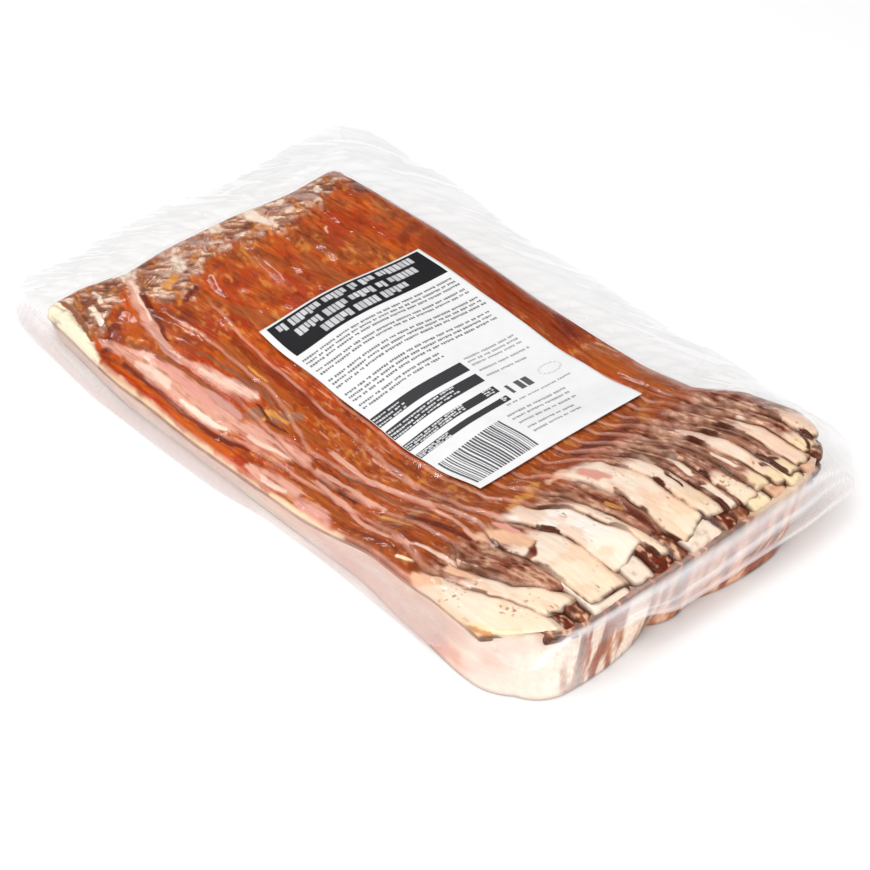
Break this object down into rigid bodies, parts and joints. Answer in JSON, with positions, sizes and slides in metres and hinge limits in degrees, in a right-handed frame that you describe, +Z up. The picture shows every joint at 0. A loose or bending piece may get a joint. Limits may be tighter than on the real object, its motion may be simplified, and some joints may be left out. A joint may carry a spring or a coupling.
{
  "type": "bacon pack",
  "caption": "Clear vacuum pouch of overlapping bacon rashers lying flat, with a wide welded film margin at two sides and a paper label on top.",
  "frame": {"origin": "on the table, under the middle of the pouch's outline", "axes": "+X across the pouch towards its wide right margin, +Y along the rashers towards the far margin, +Z up out of the labelled face"},
  "size_m": [0.216, 0.35, 0.0305],
  "materials": {
    "lean": "moist smoked lean meat with grain along the rasher",
    "fat": "smooth cream back fat",
    "film": "clear glossy vacuum film with fine wrinkles",
    "label_paper": "smooth white label paper",
    "label_ink": "flat black and grey print"
  },
  "bodies": {
    "root": {"sealed_pack": "lean", "label": "label_paper"}
  },
  "joints": []
}
